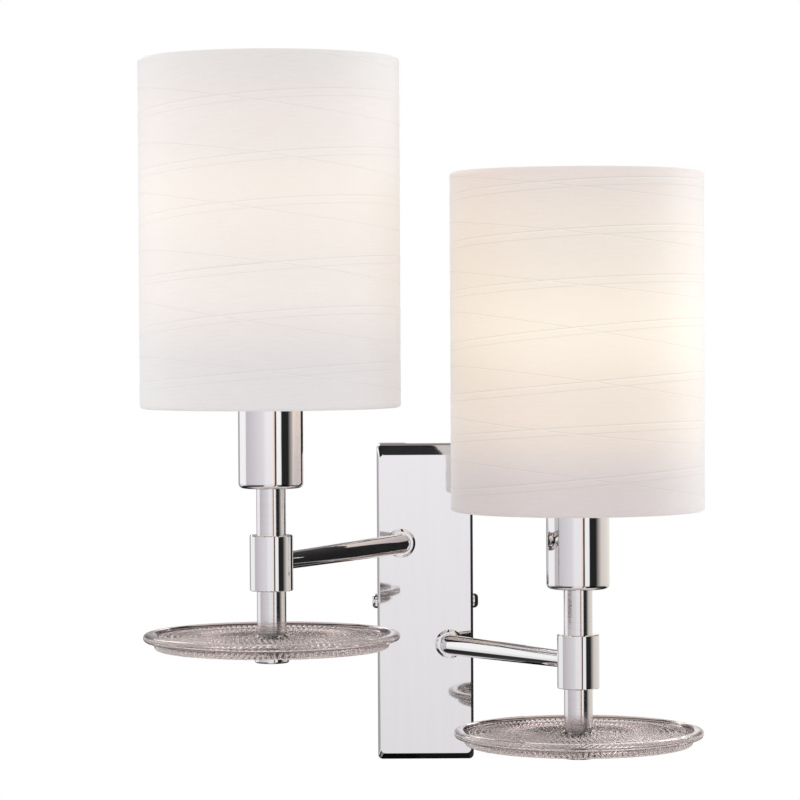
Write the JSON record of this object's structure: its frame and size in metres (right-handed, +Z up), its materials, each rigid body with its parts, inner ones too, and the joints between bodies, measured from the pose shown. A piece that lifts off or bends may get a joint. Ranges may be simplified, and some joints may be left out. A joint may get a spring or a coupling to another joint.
{
  "type": "wall sconce",
  "caption": "Wall sconce with polished chrome arms on a slim upright plate, white wrapped drum shades and pressed-glass discs below them.",
  "frame": {"origin": "on the wall plane, behind the middle of the plate and midway between the bracket's screw slots", "axes": "+X to the right as seen from the room, +Y into the wall, +Z up"},
  "size_m": [0.329, 0.257, 0.425],
  "materials": {
    "polished_chrome": "polished",
    "zinc_steel": "satin",
    "green_steel": "satin",
    "connector_plastic": "matte",
    "lead_sheath": "matte",
    "black_phenolic": "satin",
    "brass": "satin",
    "white_metal": "satin",
    "shade_liner": "matte",
    "shade_fabric": "matte",
    "frosted_glass": "satin",
    "cap_metal": "satin",
    "dark_glass": "gloss",
    "pressed_glass": "polished",
    "clear_rubber": "satin"
  },
  "bodies": {
    "sconce_frame": {"backplate": "polished_chrome", "wall_bracket": "zinc_steel", "side_screws": "polished_chrome", "ground_screw": "green_steel", "lead_connectors": "connector_plastic", "left_arm": "polished_chrome", "left_arm_flange": "polished_chrome", "left_collar": "polished_chrome", "left_upper_stem": "polished_chrome", "left_lower_stem": "polished_chrome", "left_socket_cup": "polished_chrome", "left_finial": "polished_chrome", "left_arm_washer": "zinc_steel", "left_arm_locknut": "zinc_steel", "left_cup_locknut": "zinc_steel", "left_threaded_rod": "zinc_steel", "left_lead": "lead_sheath", "left_lampholder": "black_phenolic", "left_screw_shell": "brass", "left_centre_contact": "brass", "left_glass_disc": "pressed_glass", "left_disc_washers": "clear_rubber", "right_arm": "polished_chrome", "right_arm_flange": "polished_chrome", "right_collar": "polished_chrome", "right_upper_stem": "polished_chrome", "right_lower_stem": "polished_chrome", "right_socket_cup": "polished_chrome", "right_finial": "polished_chrome", "right_arm_washer": "zinc_steel", "right_arm_locknut": "zinc_steel", "right_cup_locknut": "zinc_steel", "right_threaded_rod": "zinc_steel", "right_lead": "lead_sheath", "right_lampholder": "black_phenolic", "right_screw_shell": "brass", "right_centre_contact": "brass", "right_glass_disc": "pressed_glass", "right_disc_washers": "clear_rubber"},
    "left_shade": {"left_shade_ring": "black_phenolic", "left_shade_fitter": "white_metal", "left_shade_spokes": "white_metal", "left_shade_rings": "white_metal", "left_shade_liner": "shade_liner", "left_shade_fabric": "shade_fabric"},
    "left_bulb_contact": {"left_bulb_tip": "cap_metal"},
    "left_bulb": {"left_bulb_glass": "frosted_glass", "left_bulb_cap": "cap_metal", "left_bulb_insulator": "dark_glass"},
    "right_shade": {"right_shade_ring": "black_phenolic", "right_shade_fitter": "white_metal", "right_shade_spokes": "white_metal", "right_shade_rings": "white_metal", "right_shade_liner": "shade_liner", "right_shade_fabric": "shade_fabric"},
    "right_bulb_contact": {"right_bulb_tip": "cap_metal"},
    "right_bulb": {"right_bulb_glass": "frosted_glass", "right_bulb_cap": "cap_metal", "right_bulb_insulator": "dark_glass"}
  },
  "joints": [
    {"name": "left_shade_lift", "type": "slide", "parent": "sconce_frame", "child": "left_shade", "axis": [0, 0, 1], "range_m": [0, 0.14]},
    {"name": "left_bulb_rise", "type": "slide", "parent": "sconce_frame", "child": "left_bulb_contact", "axis": [0, 0, 1], "range_m": [0, 0.0182]},
    {"name": "left_bulb_turn", "type": "hinge", "parent": "left_bulb_contact", "child": "left_bulb", "pos_m": [-0.0895, -0.182, 0.037], "axis": [0, 0, 1], "range_deg": [0, 1800]},
    {"name": "right_shade_lift", "type": "slide", "parent": "sconce_frame", "child": "right_shade", "axis": [0, 0, 1], "range_m": [0, 0.14]},
    {"name": "right_bulb_rise", "type": "slide", "parent": "sconce_frame", "child": "right_bulb_contact", "axis": [0, 0, 1], "range_m": [0, 0.0182]},
    {"name": "right_bulb_turn", "type": "hinge", "parent": "right_bulb_contact", "child": "right_bulb", "pos_m": [0.0895, -0.13, -0.026], "axis": [0, 0, 1], "range_deg": [0, 1800]}
  ],
  "couplings": [
    {"joint": "left_bulb_rise", "follows": "left_bulb_turn", "m_per_rad": 0.00057773},
    {"joint": "right_bulb_rise", "follows": "right_bulb_turn", "m_per_rad": 0.00057773}
  ]
}
